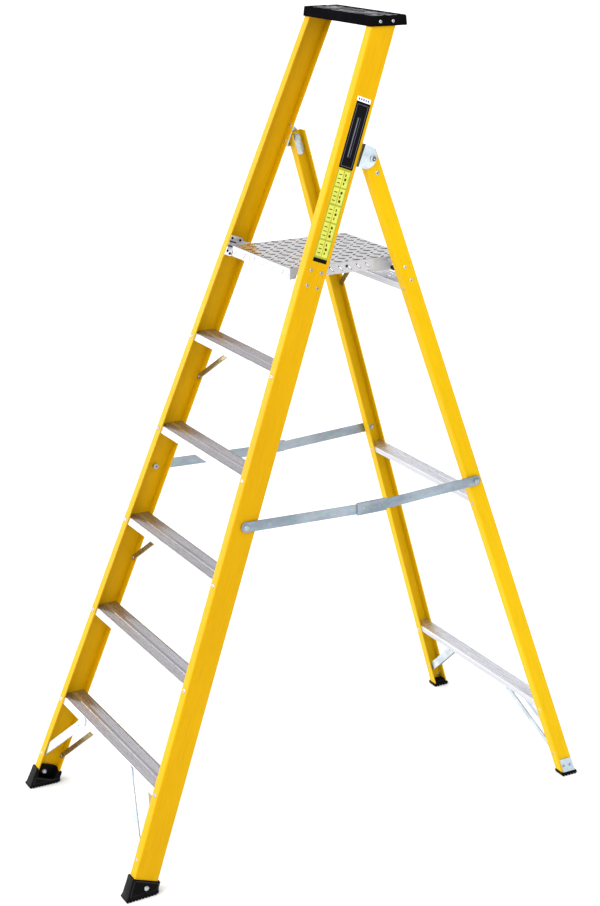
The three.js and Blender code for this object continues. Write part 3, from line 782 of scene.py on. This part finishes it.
# ---- finishes of the CAD nodes that stay ---------------------------------------------------------
for hand, _ in SIDES:
    dress(f"front_stile_{hand}", YELLOW_FRONT, 0.0006)
    dress(f"rear_rail_{hand}", YELLOW_REAR, 0.0006)
    dress(f"platform_bracket_{hand}", BRACKET, 0.0004)
    dress(f"catch_bracket_{hand}", BRACKET, 0.0004)
    dress(f"catch_stud_{hand}", KNOB)
    dress(f"rear_foot_plate_{hand}", PALE_ZINC, 0.0004)
    dress(f"front_brace_{hand}", PALE_ZINC, 0.0005)
    dress(f"lower_brace_front_{hand}", PALE_ZINC, 0.0005)
    dress(f"lower_brace_back_{hand}", PALE_ZINC, 0.0005)
    for node in ("hinge_plate", "hinge_strap"):
        dress(f"{node}_{hand}", PALE_ZINC, 0.0004)
    for node in ("stay_front_bar", "stay_link", "stay_rear_bar"):
        dress(f"{node}_{hand}", STAY, 0.0005)
    for node in ("hinge_bolt", "platform_pivot", "stay_front_bolt", "stay_rear_bolt"):
        dress(f"{node}_{hand}", BOLT)
    for n, _ in BRACE_DROPS:
        dress(f"tread_brace_{n}_{hand}", BRACE, 0.0005)


# ---- floor, light and camera ---------------------------------------------------------------------
def floor():
    bm = bmesh.new()
    bmesh.ops.create_grid(bm, x_segments=8, y_segments=8, size=60)
    mesh = bpy.data.meshes.new("studio_floor")
    bm.to_mesh(mesh)
    bm.free()
    f = Finish("floor_paper", Roughness=0.9, Specular_IOR_Level=0.1)
    f.colour(f.mix(f.ramp(f.noise((0.6, 0.6, 0.6), 2), 0.3, 0.7), (0.9, 0.9, 0.9, 1), (0.93, 0.93, 0.93, 1)))
    mesh.materials.append(f.material)
    obj = bpy.data.objects.new("studio_floor", mesh)
    obj.location.z = -0.0005
    scene.collection.objects.link(obj)


def light(kind, name, place, target, energy, size):
    data = bpy.data.lights.new(name, kind)
    data.energy = energy
    if kind == "SUN":
        data.angle = math.radians(size)
    else:
        data.shape, data.size = "SQUARE", size
    obj = bpy.data.objects.new(name, data)
    obj.location = place
    obj.rotation_euler = (Vector(target) - Vector(place)).to_track_quat("-Z", "Y").to_euler()
    scene.collection.objects.link(obj)


def glow(tree, direction, towards, cosines, strengths):
    """Strength of the room's light, which rises smoothly towards one direction."""
    facing = tree.nodes.new("ShaderNodeVectorMath")
    facing.operation = "DOT_PRODUCT"
    facing.inputs[1].default_value = Vector(towards).normalized()
    tree.links.new(direction, facing.inputs[0])
    strength = tree.nodes.new("ShaderNodeMapRange")
    strength.interpolation_type = "SMOOTHSTEP"
    for key, value in zip(("From Min", "From Max", "To Min", "To Max"), (*cosines, *strengths)):
        strength.inputs[key].default_value = value
    tree.links.new(facing.outputs["Value"], strength.inputs["Value"])
    return strength.outputs["Result"]


def studio():
    """A white room, brighter towards a wide soft window in front and a bright panel at the front left."""
    world = bpy.data.worlds.new("studio")
    world.use_nodes = True
    tree = world.node_tree
    direction = tree.nodes.new("ShaderNodeTexCoord").outputs["Generated"]
    window = glow(tree, direction, (0.1, -0.86, 0.5), (0, 1), (0.68, 2.6))
    panel = glow(tree, direction, (-0.845, -0.53, 0.02), (0.955, 0.995), (0, 10))
    total = tree.nodes.new("ShaderNodeMath")
    tree.links.new(window, total.inputs[0])
    tree.links.new(panel, total.inputs[1])
    tree.links.new(total.outputs[0], tree.nodes["Background"].inputs["Strength"])
    tree.nodes["Background"].inputs["Color"].default_value = (1, 1, 1, 1)
    scene.world = world


floor()
studio()
scene.view_settings.view_transform = "Standard"
light("SUN", "key", (0.4, -4, 3), (0, 0, 0.8), 0.5, 40)
light("AREA", "top_fill", (2.0, 0.5, 2.6), (0, 0.1, 1.7), 12, 0.8)

camera = bpy.data.objects.new("camera", bpy.data.cameras.new("camera"))
scene.collection.objects.link(camera)
camera.location = (3.8969, -2.1675, 2.3778)
camera.rotation_euler = (math.radians(76.2537), 0, math.radians(61.0216))
camera.data.sensor_width = 36
camera.data.lens = 74.427
camera.data.shift_y = -0.1689
camera.data.clip_end = 200
scene.camera = camera
